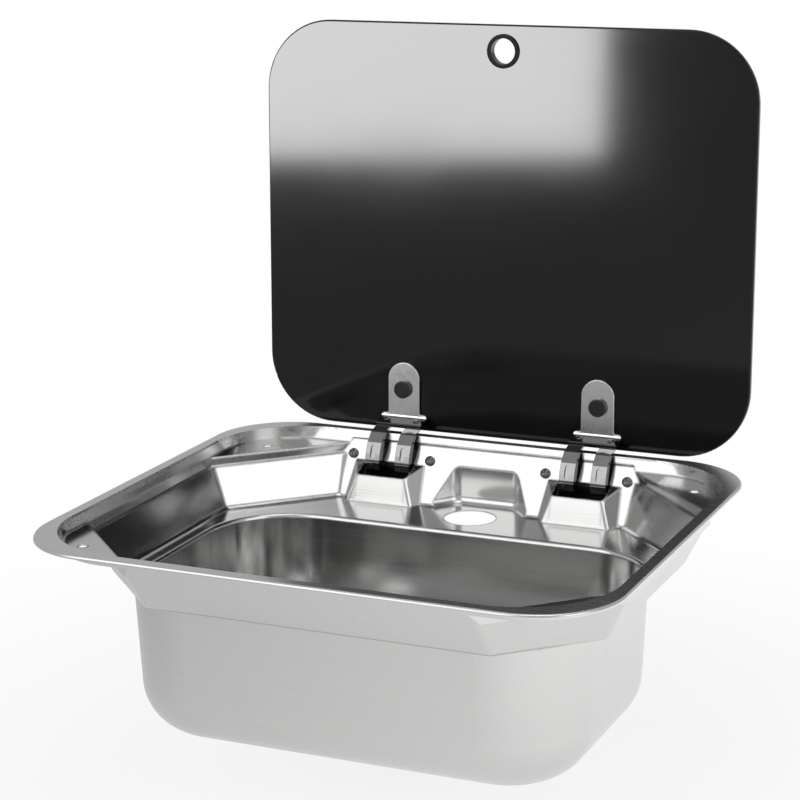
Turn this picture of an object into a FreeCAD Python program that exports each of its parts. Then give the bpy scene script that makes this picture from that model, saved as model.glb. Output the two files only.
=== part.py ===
"""Built-in caravan sink with a hinged glass lid. Millimetres, +Z up.

The origin is the centre of the rim's outline, in the plane of the worktop that the rim rests on.
+X points to the right and +Y to the back, where the hinges are. The lid stands open against its
stop. Depths are measured down from the top face of the rim, so level() turns them into heights.
"""

import FreeCAD
import Part
import math
import os

from FreeCAD import Placement, Rotation, Vector

# ---- rim and pressed sheet ----
RIM_HALF_X = 210.0
RIM_HALF_Y = 185.0
RIM_CORNER = 60.0
RIM_HEIGHT = 2.5
SHEET = 0.8
MOUTH_HALF_X = 200.7
MOUTH_HALF_Y = 175.7
MOUTH_CORNER = 69.0

LEDGE_DEPTH = 9.5
STEP_DEPTH = 17.0
SHELF_DEPTH = 47.0
WELL_HALF_X = 198.5
WELL_LOWER_HALF_X = 196.5
WELL_FOOT_HALF_X = 182.0
WELL_CORNER = 58.0
WELL_CUT = 204.5
WELL_LOWER_CUT = 202.5
WELL_FOOT_CUT_FRONT = 187.0
WELL_FOOT_CUT_BACK = 187.5
FRONT_WALL_FOOT = -139.0
FRONT_WALL_SLOPE = 0.784
BACK_WALL_FOOT = 148.3
BACK_WALL_SLOPE = 0.632
WELL_EDGE_RADIUS = 7.0
WELL_FOOT_RADIUS = 5.0

SCOOP_BACK = 167.0
SCOOP_HALF_X = 25.0
SCOOP_FLARE = 0.82
SCOOP_TOP_DEPTH = 12.7
SCOOP_CORNER = 9.0

# ---- bowl ----
BOWL_HALF_X = 169.0
BOWL_FRONT = -124.0
BOWL_BACK = 96.0
BOWL_CORNER = 62.0
BOWL_DEPTH = 156.0
BOWL_DRAFT = 0.05
BOWL_BOTTOM_RADIUS = 38.0
BOWL_LIP_RADIUS = 3.0

# ---- holes ----
TAP_HOLE_RADIUS = 19.5
TAP_HOLE_Y = 132.0
FIXING_HOLE_RADIUS = 3.2
FIXING_X = 173.4
FIXING_Y = 138.4

# ---- hinge pockets and hinges ----
HINGE_X = 80.0
PIVOT_Y = 174.6
PIVOT_DEPTH = 24.73
PIN_RADIUS = 2.0
RUNNING_FIT = 0.05
HUB_RADIUS = 4.5
POCKET_FRONT_HALF_X = 19.9
POCKET_FRONT_Y = 145.4
POCKET_FRONT_DEPTH = 27.0
POCKET_SIDE_FLARE = 0.62
POCKET_DRAFT_X = 0.335
POCKET_DRAFT_Y = 0.26
POCKET_EDGE_RADIUS = 3.5
SLOT_REAR_DEPTH = 20.5
WINDOW_HALF_X = 20.5
HINGE_SCREW_OFFSET = 32.5
HINGE_SCREW_DEPTH = 16.8
CHEEK_OFFSET = 20.0
HOUSING_SHEET = 1.2
HOUSING_BACK = 180.2
HOUSING_TOP_DEPTH = 11.5
HOUSING_FOOT_DEPTH = 45.0
WALL_NORMAL = Vector(0, -1.0, BACK_WALL_SLOPE).normalize()
EAR_FRONT = 1.12
ARM_OFFSET = 12.5
ARM_WIDTH = 12.0
STRAP_Y = 188.5
STRAP_TOP_Z = 6.62

# ---- glass lid, sizes measured on the glass from its hinge edge ----
GLASS_HALF_X = 197.0
GLASS_LENGTH = 317.0
GLASS_THICKNESS = 5.0
GLASS_CORNER = 54.0
GLASS_EDGE_Y = 194.0
GLASS_EDGE_DEPTH = 0.65
LID_LEAN = 1.58
LID_BOLT_X = 80.4
LID_BOLT_UP = 32.4
RING_UP = 297.3
RING_OUTER = 12.8
RING_INNER = 9.6
BRACKET_HALF_X = 13.0
FLANGE_HALF_X = 19.0
BRACKET_TOP = 53.5
BRACKET_SHEET = 2.0
PAD = 0.5
RIVET_UP = 8.72
RIVET_OUT = 7.4
FLANGE_SLOPE = 0.29

# ---- waste ----
WASTE_Y = 16.0
WASTE_HOLE = 24.0
DISH_RADIUS = 36.0
DISH_DEPTH = 2.5
FLANGE_RADIUS = 31.0
CUP_RADIUS = 22.0
CUP_WALL = 2.0
CUP_LENGTH = 19.0
STRAINER_HOLE = 1.9
OUTLET_FOOT = 35.5
SPIGOT_RADIUS = 10.0
SPIGOT_WALL = 1.8
SPIGOT_DEPTH = 25.0
SPIGOT_END = 62.0
SOCKET_END = 27.5
TAIL_START = 22.1
KNOB_STEM = 2.0


def level(depth):
    """Height of a point that lies this far below the rim's top face."""
    return RIM_HEIGHT - depth


def back_wall(depth):
    """Y of the inclined back wall at this depth."""
    return BACK_WALL_FOOT + BACK_WALL_SLOPE * (SHELF_DEPTH - depth)


def front_wall(depth):
    """Y of the inclined front wall at this depth."""
    return FRONT_WALL_FOOT - FRONT_WALL_SLOPE * (SHELF_DEPTH - depth)


# ---- outlines ----

def rounded_outline(corners, place):
    """Closed wire through (a, b, radius) corners; place turns (a, b) into a vector."""
    edges = []
    ends = []
    count = len(corners)
    for index, (a, b, radius) in enumerate(corners):
        corner = Vector(a, b, 0)
        before = Vector(*corners[index - 1][:2], 0) - corner
        after = Vector(*corners[(index + 1) % count][:2], 0) - corner
        if radius == 0.0:
            ends.append((corner, corner))
            continue
        before.normalize()
        after.normalize()
        half = before.getAngle(after) / 2.0
        reach = radius / math.tan(half)
        middle = before + after
        middle.normalize()
        inner = middle * (radius / math.sin(half) - radius)
        start, end = corner + before * reach, corner + after * reach
        arc = Part.Arc(*[place(p.x, p.y) for p in (start, corner + inner, end)])
        edges.append((index, arc.toShape()))
        ends.append((start, end))
    arcs = dict(edges)
    path = []
    for index in range(count):
        if index in arcs:
            path.append(arcs[index])
        leave = ends[index][1]
        arrive = ends[(index + 1) % count][0]
        if (leave - arrive).Length > 1e-6:
            line = Part.LineSegment(place(leave.x, leave.y), place(arrive.x, arrive.y))
            path.append(line.toShape())
    return Part.Wire(path)


def flat(z):
    """Placing rule for outlines that lie level at this height."""
    return lambda a, b: Vector(a, b, z)


def upright(x):
    """Placing rule for side outlines given as (y, depth) at this x."""
    return lambda a, b: Vector(x, a, level(-b))


def rectangle(half_x, front, back, radius, z):
    """Level rectangle with rounded corners."""
    corners = [(half_x, back), (-half_x, back), (-half_x, front), (half_x, front)]
    return rounded_outline([(x, y, radius) for x, y in corners], flat(z))


def octagon(half_x, front, back, cut_front, cut_back, z):
    """Level rectangle whose corners are cut at 45 degrees, at these distances from the centre."""
    rear, fore = cut_back * math.sqrt(2.0), cut_front * math.sqrt(2.0)
    right = [(fore + front, front), (half_x, half_x - fore), (half_x, rear - half_x), (rear - back, back)]
    left = [(-x, y) for x, y in reversed(right)]
    return rounded_outline([(x, y, 0.0) for x, y in right + left], flat(z))


def loft(*outlines):
    """Solid with straight walls between these outlines."""
    return Part.makeLoft(list(outlines), True, True)


def prism(outline, travel):
    """Solid swept by an outline along a vector."""
    return Part.Face(outline).extrude(travel)


def cylinder(radius, start, end):
    """Round bar from one point to another."""
    return Part.makeCylinder(radius, (end - start).Length, start, end - start)


def ring(outer, inner, start, end):
    """Tube from one point to another."""
    return cylinder(outer, start, end).cut(cylinder(inner, start, end))


def box(x0, x1, y0, y1, z0, z1):
    """Block between these limits."""
    return Part.makeBox(x1 - x0, y1 - y0, z1 - z0, Vector(x0, y0, z0))


def fillet(shape, radius, chosen):
    """Round the edges that the test picks."""
    return shape.makeFillet(radius, [edge for edge in shape.Edges if chosen(edge)])


def at_height(z):
    """Test for edges that lie level at this height."""
    return lambda edge: abs(edge.BoundBox.ZMin - z) < 0.01 and abs(edge.BoundBox.ZMax - z) < 0.01


# ---- the pressed sink ----

def recess(grow):
    """Shallow recess under the rim that takes the closed glass."""
    top = rectangle(MOUTH_HALF_X + grow, -MOUTH_HALF_Y - grow, MOUTH_HALF_Y + grow, MOUTH_CORNER + grow,
                    level(0.0))
    foot = rectangle(WELL_HALF_X + grow, front_wall(LEDGE_DEPTH) - grow, back_wall(LEDGE_DEPTH) + grow,
                     WELL_CORNER + grow, level(LEDGE_DEPTH + grow))
    return loft(top, foot)


def collar(grow):
    """Upright band of the octagonal well, between the corner ledges and the narrow step."""
    outlines = []
    for depth in (LEDGE_DEPTH - 4.0, STEP_DEPTH):
        outlines.append(octagon(WELL_HALF_X + grow, front_wall(depth) - grow, back_wall(depth) + grow,
                                WELL_CUT + grow, WELL_CUT + grow, level(depth + grow)))
    return loft(*outlines)


def lower_well(grow):
    """Inclined walls of the octagonal well, down to the shelf."""
    top = octagon(WELL_LOWER_HALF_X + grow, front_wall(STEP_DEPTH) - grow, back_wall(STEP_DEPTH) + grow,
                  WELL_LOWER_CUT + grow, WELL_LOWER_CUT + grow, level(STEP_DEPTH + grow))
    foot = octagon(WELL_FOOT_HALF_X + grow, FRONT_WALL_FOOT - grow, BACK_WALL_FOOT + grow,
                   WELL_FOOT_CUT_FRONT + grow, WELL_FOOT_CUT_BACK + grow, level(SHELF_DEPTH + grow))
    solid = loft(top, foot)
    solid = fillet(solid, WELL_EDGE_RADIUS + grow, lambda edge: edge.BoundBox.ZLength > 5.0)
    return fillet(solid, WELL_FOOT_RADIUS + grow, at_height(level(SHELF_DEPTH + grow)))


def scoop(grow):
    """Rounded niche in the middle of the back wall, behind the tap."""
    reach = 40.0
    wide = SCOOP_HALF_X + SCOOP_FLARE * reach
    back = SCOOP_BACK + grow
    half = SCOOP_HALF_X + grow
    corners = [(half, back, SCOOP_CORNER + grow), (-half, back, SCOOP_CORNER + grow),
               (-wide - grow, back - reach, 0.0), (wide + grow, back - reach, 0.0)]
    foot = level(SHELF_DEPTH + grow)
    solid = prism(rounded_outline(corners, flat(foot)), Vector(0, 0, level(SCOOP_TOP_DEPTH) - foot))

    def at_foot(edge):
        return at_height(foot)(edge) and edge.BoundBox.YMax > back - reach + 1.0

    return fillet(solid, WELL_FOOT_RADIUS + grow, at_foot)


def bowl(grow):
    """Drafted bowl with a rounded lip, a wide bottom radius and a shallow dish round the waste."""
    outlines = []
    for depth in (SHELF_DEPTH - 1.0, BOWL_DEPTH):
        inset = BOWL_DRAFT * (depth - SHELF_DEPTH) - grow
        outlines.append(rectangle(BOWL_HALF_X - inset, BOWL_FRONT + inset, BOWL_BACK - inset,
                                  BOWL_CORNER - inset, level(depth + grow)))
    bottom = level(BOWL_DEPTH + grow)
    solid = fillet(loft(*outlines), BOWL_BOTTOM_RADIUS + grow, at_height(bottom))
    wide = BOWL_LIP_RADIUS + 0.3
    shelf = level(SHELF_DEPTH + grow)
    mouth = rectangle(BOWL_HALF_X + wide, BOWL_FRONT - wide, BOWL_BACK + wide, BOWL_CORNER + wide, shelf)
    slab = prism(mouth, Vector(0, 0, 1.0))

    def lip(edge):
        limits, margin = edge.BoundBox, 1.0 + grow
        across = max(-limits.XMin, limits.XMax) < BOWL_HALF_X + margin
        return at_height(shelf)(edge) and across and BOWL_FRONT - margin < limits.YMin \
            and limits.YMax < BOWL_BACK + margin

    solid = fillet(solid.fuse(slab), BOWL_LIP_RADIUS - grow, lip)
    dish = Part.makeCone(DISH_RADIUS - 4.0 + grow, DISH_RADIUS + grow, DISH_DEPTH + 0.5,
                         Vector(0, WASTE_Y, bottom - DISH_DEPTH))
    return solid.fuse(dish)


def pocket(x, grow):
    """Tapered pocket on the back wall that the hinge arms reach into."""
    outlines = []
    rear = 176.0
    for depth in (POCKET_FRONT_DEPTH - 9.0, SHELF_DEPTH + 2.0):
        down = depth - POCKET_FRONT_DEPTH
        front = POCKET_FRONT_Y - POCKET_DRAFT_Y * down - grow
        half = POCKET_FRONT_HALF_X + POCKET_DRAFT_X * down + grow
        wide = half + POCKET_SIDE_FLARE * (rear - front)
        radius = POCKET_EDGE_RADIUS + grow
        corners = [(x + wide, rear, 0.0), (x - wide, rear, 0.0)]
        corners += [(x - half, front, radius), (x + half, front, radius)]
        outlines.append(rounded_outline(corners, flat(level(depth))))
    return loft(*outlines)


def above_slot(x, grow):
    """Everything above the sloping mouth of a hinge pocket."""
    reach = 60.0
    rise = (POCKET_FRONT_DEPTH - SLOT_REAR_DEPTH) / (back_wall(SLOT_REAR_DEPTH) - POCKET_FRONT_Y)
    front, back = POCKET_FRONT_Y - 10.0, POCKET_FRONT_Y + reach
    corners = [(front, -POCKET_FRONT_DEPTH - 10.0 * rise + grow, 0.0),
               (back, -POCKET_FRONT_DEPTH + reach * rise + grow, 0.0),
               (back, 10.0, 0.0), (front, 10.0, 0.0)]
    return prism(rounded_outline(corners, upright(x - reach)), Vector(2.0 * reach, 0, 0))


def hollow(grow):
    """Space inside the sheet, or with grow the solid that its outside follows."""
    well = lower_well(grow).fuse(scoop(grow))
    for piece in (collar(grow), recess(grow), bowl(grow)):
        well = well.fuse(piece)
    return well.removeSplitter()


def rim():
    """Flat rim with its edge turned down to the worktop."""
    outline = rectangle(RIM_HALF_X, -RIM_HALF_Y, RIM_HALF_Y, RIM_CORNER, 0.0)
    under = rectangle(RIM_HALF_X - SHEET, SHEET - RIM_HALF_Y, RIM_HALF_Y - SHEET, RIM_CORNER - SHEET, 0.0)
    plate = fillet(prism(outline, Vector(0, 0, RIM_HEIGHT)), 2.0, at_height(RIM_HEIGHT))
    below = fillet(prism(under, Vector(0, 0, RIM_HEIGHT - SHEET)), 1.2, at_height(RIM_HEIGHT - SHEET))
    return plate.cut(below)


def sink_bowl():
    """The whole pressing: rim, recess, well, hinge pockets and bowl."""
    inside = hollow(0.0)
    outside = hollow(SHEET)
    solid = outside.fuse(rim()).cut(prism(rectangle(MOUTH_HALF_X, -MOUTH_HALF_Y, MOUTH_HALF_Y, MOUTH_CORNER,
                                                    level(0.0)), Vector(0, 0, 5.0)))
    for x in (-HINGE_X, HINGE_X):
        inside = inside.cut(pocket(x, 0.0).cut(above_slot(x, 0.0)))
    solid = solid.cut(inside)
    for x in (-HINGE_X, HINGE_X):
        window = box(x - WINDOW_HALF_X, x + WINDOW_HALF_X, POCKET_FRONT_Y - 8.0, 185.0,
                     level(SHELF_DEPTH - 2.5), level(SLOT_REAR_DEPTH))
        space = pocket(x, -SHEET).common(window)
        solid = solid.cut(space)
    drill = [(0.0, TAP_HOLE_Y, TAP_HOLE_RADIUS), (0.0, WASTE_Y, WASTE_HOLE)]
    for x in (-FIXING_X, FIXING_X):
        drill += [(x, -FIXING_Y, FIXING_HOLE_RADIUS), (x, FIXING_Y, FIXING_HOLE_RADIUS)]
    for x, y, radius in drill:
        solid = solid.cut(cylinder(radius, Vector(x, y, level(170.0)), Vector(x, y, 5.0)))
    for x in (-HINGE_X, HINGE_X):
        for seat in hinge_screw_seats(x):
            solid = solid.cut(cylinder(2.2, seat - WALL_NORMAL * 4.0, seat + WALL_NORMAL * 4.0))
    return solid


def rim_seal():
    """Soft strip between the rim and the worktop."""
    thick = Vector(0, 0, RIM_HEIGHT - SHEET)
    strips = []
    for inset in (2.2, 7.2):
        half_x, half_y = RIM_HALF_X - inset, RIM_HALF_Y - inset
        strips.append(prism(rectangle(half_x, -half_y, half_y, RIM_CORNER - inset, 0.0), thick))
    return strips[0].cut(strips[1])


# ---- hinge parts that stay on the sink ----

def hinge_screw_seats(x):
    """Points on the back wall where the two screws of a hinge sit."""
    y, z = back_wall(HINGE_SCREW_DEPTH), level(HINGE_SCREW_DEPTH)
    return [Vector(x + side * HINGE_SCREW_OFFSET, y, z) for side in (-1.0, 1.0)]


def wall_slab(x0, x1, top, foot, near, far):
    """Plate parallel to the back wall, between two distances behind its front face."""
    slant = math.hypot(1.0, BACK_WALL_SLOPE)
    corners = [(back_wall(top) + near * slant, -top, 0.0), (back_wall(foot) + near * slant, -foot, 0.0),
               (back_wall(foot) + far * slant, -foot, 0.0), (back_wall(top) + far * slant, -top, 0.0)]
    return prism(rounded_outline(corners, upright(x0)), Vector(x1 - x0, 0, 0))


def housing_profile(grow, front):
    """Side outline of the space in a hinge housing, grown outward, from this far behind the wall."""
    foot = HOUSING_FOOT_DEPTH - HOUSING_SHEET + grow
    return [(back_wall(HOUSING_TOP_DEPTH) + front, -HOUSING_TOP_DEPTH, 0.0),
            (back_wall(foot) + front + 0.6, -foot, 0.0),
            (HOUSING_BACK + grow, -foot, 1.0 + grow),
            (HOUSING_BACK + grow, -HOUSING_TOP_DEPTH, 0.0)]


def hinge_housing(x):
    """Folded tray behind the back wall: two cheeks for the pin, a back, a floor and two screwed ears."""
    inner, outer = CHEEK_OFFSET, CHEEK_OFFSET + HOUSING_SHEET
    front = EAR_FRONT * math.hypot(1.0, BACK_WALL_SLOPE)
    body = rounded_outline(housing_profile(HOUSING_SHEET, front), upright(x - outer))
    space = rounded_outline(housing_profile(0.0, front - 5.0), upright(x - inner))
    solid = prism(body, Vector(2.0 * outer, 0, 0)).cut(prism(space, Vector(2.0 * inner, 0, 0)))
    for side in (-1.0, 1.0):
        near, far = sorted((x + side * inner, x + side * (HINGE_SCREW_OFFSET + 6.0)))
        solid = solid.fuse(wall_slab(near, far, HOUSING_TOP_DEPTH, 23.0, EAR_FRONT, EAR_FRONT + HOUSING_SHEET))
    pin = pin_centre(x)
    solid = solid.cut(cylinder(PIN_RADIUS, pin - Vector(30, 0, 0), pin + Vector(30, 0, 0)))
    for seat in hinge_screw_seats(x):
        solid = solid.cut(cylinder(2.2, seat, seat - WALL_NORMAL * 8.0))
    return solid.removeSplitter()


def hinge_screws(x):
    """Two cross-recessed pan-head screws."""
    screws = []
    for seat in hinge_screw_seats(x):
        head = cylinder(3.9, seat, seat + WALL_NORMAL * 2.3)
        top = seat + WALL_NORMAL * 2.3
        head = head.makeFillet(1.1, [edge for edge in head.Edges if (edge.CenterOfMass - top).Length < 0.1])
        screw = head.fuse(cylinder(2.0, seat, seat - WALL_NORMAL * 9.0))
        for turn in (45.0, 135.0):
            slot = box(-2.3, 2.3, -0.45, 0.45, -1.3, 1.0)
            upward = Vector(0, 0, 1)
            slot.Placement = Placement(top, Rotation(upward, WALL_NORMAL) * Rotation(upward, turn))
            screw = screw.cut(slot)
        screws.append(screw)
    return Part.makeCompound(screws)


def hexagon_nut(across, height, bore, base, direction):
    """Hexagon nut with its face on the base point."""
    radius = across / math.sqrt(3.0)
    angles = [math.radians(60.0 * k) for k in range(7)]
    points = [Vector(radius * math.cos(angle), radius * math.sin(angle), 0) for angle in angles]
    nut = prism(Part.makePolygon(points), Vector(0, 0, height))
    nut = nut.cut(Part.makeCylinder(bore, height))
    nut.Placement = Placement(base, Rotation(Vector(0, 0, 1), direction))
    return nut


def hinge_nuts(x):
    """Two nuts behind the ears of a housing."""
    depth = EAR_FRONT + HOUSING_SHEET
    return Part.makeCompound([hexagon_nut(7.0, 3.2, 2.0, seat - WALL_NORMAL * depth, -WALL_NORMAL)
                              for seat in hinge_screw_seats(x)])


def pin_centre(x):
    """Middle of a hinge pin."""
    return Vector(x, PIVOT_Y, level(PIVOT_DEPTH))


def hinge_pin(x):
    """Headed pin that both arms of a hinge turn on."""
    inner = -math.copysign(1.0, x)
    reach = CHEEK_OFFSET + HOUSING_SHEET
    pin = pin_centre(x)
    head = pin + Vector(inner * reach, 0, 0)
    bar = cylinder(PIN_RADIUS, head, pin - Vector(inner * (reach + 3.0), 0, 0))
    return bar.fuse(cylinder(3.6, head, head + Vector(inner * 1.6, 0, 0)))


def pin_clip(x):
    """Spring clip on the free end of a pin."""
    outer = math.copysign(1.0, x)
    start = pin_centre(x) + Vector(outer * (CHEEK_OFFSET + HOUSING_SHEET), 0, 0)
    end = start + Vector(outer * 0.8, 0, 0)
    clip = ring(4.4, PIN_RADIUS, start, end)
    low = min(start.x, end.x)
    return clip.cut(box(low, low + 0.8, PIVOT_Y - 1.2, PIVOT_Y + 1.2, start.z, start.z + 6.0))


def hinge_spacer(x):
    """Sleeve on the pin between the two arms."""
    half = ARM_OFFSET - ARM_WIDTH / 2.0 - 0.1
    pin = pin_centre(x)
    return ring(4.2, PIN_RADIUS, pin - Vector(half, 0, 0), pin + Vector(half, 0, 0))


def friction_washers(x):
    """Washers on the pin between each arm and its cheek."""
    pin = pin_centre(x)
    near, far = ARM_OFFSET + ARM_WIDTH / 2.0 + 0.1, CHEEK_OFFSET
    washers = []
    for side in (-1.0, 1.0):
        inner, outer = pin + Vector(side * near, 0, 0), pin + Vector(side * far, 0, 0)
        washers.append(ring(4.4, PIN_RADIUS, inner, outer))
    return Part.makeCompound(washers)


# ---- hinge parts that turn with the lid ----

def hinge_arm(x):
    """Goose-neck arm: a channel in front of the back wall with a flat strap over the rim."""
    slope = 0.26

    def strap(y, below):
        return STRAP_TOP_Z + slope * (y - STRAP_Y) - below

    outer = [(192.9, strap(192.9, 0.0), 0.0), (170.3, strap(170.3, 0.0), 7.0), (162.6, -5.2, 9.0),
             (159.3, -11.5, 14.0), (157.5, -19.0, 6.0), (158.6, -25.2, 3.0), (162.8, -29.2, 3.0)]
    inner = [(PIVOT_Y, -29.2, 0.0), (PIVOT_Y, -20.3, 0.0), (170.5, -20.3, 0.5), (168.3, -23.2, 1.0),
             (164.4, -22.8, 1.0), (163.4, -19.5, 2.0), (165.6, -12.0, 5.0), (168.6, -5.0, 4.0),
             (174.2, strap(174.2, 2.06), 3.0), (192.9, strap(192.9, 2.06), 0.0)]
    half = ARM_WIDTH / 2.0
    arm = prism(rounded_outline(outer + inner, upright(x - half)), Vector(ARM_WIDTH, 0, 0))
    back = [(171.4, -1.4, 0.0), (165.0, -5.9, 3.0), (161.4, -12.2, 3.0), (159.7, -19.0, 0.0)]
    back += [(160.0, -20.8, 0.0), (176.0, -20.8, 0.0), (176.0, -1.4, 0.0)]
    arm = arm.cut(prism(rounded_outline(back, upright(x - half + 2.0)), Vector(ARM_WIDTH - 4.0, 0, 0)))
    oval = [(-2.0, -5.4, 1.99), (2.0, -5.4, 1.99), (2.0, 5.4, 1.99), (-2.0, 5.4, 1.99)]
    groove = prism(rounded_outline(oval, flat(-0.7)), Vector(0, 0, 3.0))
    low, high = Vector(x, 157.9, level(17.2)), Vector(x, 161.9, level(6.6))
    face = (high - low).cross(Vector(-1, 0, 0)).normalize()
    groove.Placement = Placement((low + high) / 2.0, Rotation(Vector(1, 0, 0), high - low, face, "ZXY"))
    arm = arm.cut(groove)
    pin = pin_centre(x)
    along = Vector(half, 0, 0)
    arm = arm.fuse(cylinder(HUB_RADIUS, pin - along, pin + along))
    arm = arm.cut(cylinder(PIN_RADIUS + RUNNING_FIT, pin - along * 2.0, pin + along * 2.0))
    return arm.cut(cylinder(1.6, *rivet_axis(x)))


def rivet_axis(x):
    """Line through a rivet, from above the bracket flange to below the strap."""
    middle = lid_point(x, RIVET_UP, RIVET_OUT)
    normal = lid_direction(0, 1.0, FLANGE_SLOPE)
    normal.normalize()
    return middle + normal * 6.0, middle - normal * 9.0


def lid_direction(x, up, out):
    """Direction given across, up and out of the front face of the standing glass."""
    lean = math.radians(LID_LEAN)
    return Vector(x, up * math.sin(lean) - out * math.cos(lean), up * math.cos(lean) + out * math.sin(lean))


def lid_point(x, up, out):
    """Point given across, up and out of the front face of the standing glass."""
    return Vector(0, GLASS_EDGE_Y, level(GLASS_EDGE_DEPTH)) + lid_direction(x, up, out)


def stand(shape):
    """Turn a piece drawn flat, with its face up, onto the standing glass."""
    placed = shape.copy()
    turn = Rotation(Vector(1, 0, 0), 90.0 - LID_LEAN)
    placed.Placement = Placement(lid_point(0, 0, 0), turn) * placed.Placement
    return placed


def glass_lid():
    """Toughened glass with ground edges, a finger hole and two bolt holes."""
    outline = rectangle(GLASS_HALF_X, 0.0, GLASS_LENGTH, GLASS_CORNER, -GLASS_THICKNESS)
    glass = prism(outline, Vector(0, 0, GLASS_THICKNESS))
    for z in (-GLASS_THICKNESS, 0.0):
        glass = fillet(glass, 1.2, at_height(z))
    holes = [(0.0, RING_UP, 11.0), (-LID_BOLT_X, LID_BOLT_UP, 3.6), (LID_BOLT_X, LID_BOLT_UP, 3.6)]
    for x, y, radius in holes:
        glass = glass.cut(cylinder(radius, Vector(x, y, -10.0), Vector(x, y, 5.0)))
    return stand(glass)


def lid_bracket(x):
    """Plate on the glass, rolled forward at its foot into a wide flange for the arms."""
    def flange(out, below):
        return 10.86 - FLANGE_SLOPE * out - below

    side = [(PAD, BRACKET_TOP, 0.0), (PAD, flange(PAD, 2.08), 1.5), (13.5, flange(13.5, 2.08), 0.0),
            (13.5, flange(13.5, 0.0), 0.8), (PAD + BRACKET_SHEET, flange(PAD + BRACKET_SHEET, 0.0), 2.2),
            (PAD + BRACKET_SHEET, BRACKET_TOP, 0.0)]
    profile = rounded_outline(side, lambda out, up: Vector(x - FLANGE_HALF_X, up, out))
    solid = prism(profile, Vector(2.0 * FLANGE_HALF_X, 0, 0))
    shoulder = 12.5
    near, wide = BRACKET_HALF_X, FLANGE_HALF_X
    corners = [(x - wide, shoulder, 2.0), (x - wide, 2.0, 2.5), (x + wide, 2.0, 2.5), (x + wide, shoulder, 2.0)]
    corners += [(x + near, shoulder, 2.0), (x + near, BRACKET_TOP, 12.9)]
    corners += [(x - near, BRACKET_TOP, 12.9), (x - near, shoulder, 2.0)]
    keep = rounded_outline(corners, flat(-1.0))
    solid = solid.common(prism(keep, Vector(0, 0, 20.0)))
    centre = Vector(math.copysign(LID_BOLT_X, x), LID_BOLT_UP, 0)
    solid = stand(solid.cut(cylinder(3.2, centre, centre + Vector(0, 0, 5.0))))
    for offset in (-ARM_OFFSET, ARM_OFFSET):
        solid = solid.cut(cylinder(1.6, *rivet_axis(x + offset)))
    return solid


def bracket_rivets(x):
    """Two rivets that hold the arms of a hinge under the bracket flange."""
    rivets = []
    for offset in (-ARM_OFFSET, ARM_OFFSET):
        middle = lid_point(x + offset, RIVET_UP, RIVET_OUT)
        normal = lid_direction(0, 1.0, FLANGE_SLOPE)
        normal.normalize()
        head = cylinder(2.6, middle, middle + normal * 1.1)
        crown = middle + normal * 1.1
        rounds = [edge for edge in head.Edges if (edge.CenterOfMass - crown).Length < 0.05]
        head = head.makeFillet(0.9, rounds)
        foot = middle - normal * 4.1
        rivets.append(head.fuse(cylinder(1.6, middle, foot)).fuse(cylinder(2.4, foot, foot - normal * 0.7)))
    return Part.makeCompound(rivets)


def bracket_pads():
    """Soft pads between the glass and the two brackets."""
    pads = []
    for x in (-HINGE_X, HINGE_X):
        outline = rounded_outline([(x - 12.5, 16.0, 2.0), (x + 12.5, 16.0, 2.0), (x + 12.5, 53.0, 12.4),
                                   (x - 12.5, 53.0, 12.4)], flat(0.0))
        centre = Vector(math.copysign(LID_BOLT_X, x), LID_BOLT_UP, 0)
        hole = cylinder(3.6, centre, centre + Vector(0, 0, 2.0))
        pads.append(prism(outline, Vector(0, 0, PAD)).cut(hole))
    return stand(Part.makeCompound(pads))


def on_bolts(make):
    """One group with a turned piece on each lid bolt."""
    return stand(Part.makeCompound([make(Vector(x, LID_BOLT_UP, 0)) for x in (-LID_BOLT_X, LID_BOLT_X)]))


def lid_bolts():
    """Bolts through the brackets and the glass."""
    face = PAD + BRACKET_SHEET

    def bolt(centre):
        head = cylinder(5.2, centre + Vector(0, 0, face), centre + Vector(0, 0, face + 2.0))
        return head.fuse(cylinder(3.0, centre - Vector(0, 0, 10.2), centre + Vector(0, 0, face)))

    return on_bolts(bolt)


def bolt_caps():
    """Black caps over the bolt heads."""
    face = PAD + BRACKET_SHEET

    def cap(centre):
        base = centre + Vector(0, 0, face)
        shell = cylinder(7.0, base, base + Vector(0, 0, 3.6))
        shell = fillet(shell, 1.2, at_height(face + 3.6))
        return shell.cut(cylinder(5.2, base, base + Vector(0, 0, 2.0)))

    return on_bolts(cap)


def rear_washers():
    """Soft washers behind the glass."""
    def washer(centre):
        base = centre - Vector(0, 0, GLASS_THICKNESS)
        return ring(8.5, 3.0, base, base - Vector(0, 0, 1.2))

    return on_bolts(washer)


def lid_nuts():
    """Hexagon nuts behind the soft washers."""
    def nut(centre):
        return hexagon_nut(10.0, 3.6, 3.0, centre - Vector(0, 0, GLASS_THICKNESS + 1.2), Vector(0, 0, -1))

    return on_bolts(nut)


def finger_ring_front():
    """Front half of the finger ring, with the sleeve through the glass."""
    centre = Vector(0, RING_UP, 0)
    flange = ring(RING_OUTER, RING_INNER, centre, centre + Vector(0, 0, 1.8))
    flange = fillet(flange, 0.8, at_height(1.8))
    sleeve = ring(10.9, RING_INNER, centre - Vector(0, 0, GLASS_THICKNESS), centre)
    return stand(flange.fuse(sleeve))


def finger_ring_back():
    """Rear half of the finger ring."""
    centre = Vector(0, RING_UP, -GLASS_THICKNESS)
    flange = ring(RING_OUTER, RING_INNER, centre, centre - Vector(0, 0, 1.8))
    return stand(fillet(flange, 0.8, at_height(-GLASS_THICKNESS - 1.8)))


# ---- waste ----

def waste_point(below):
    """Point on the waste axis, this far below the sheet's top face at the waste."""
    return Vector(0, WASTE_Y, level(BOWL_DEPTH + DISH_DEPTH + below))


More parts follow.
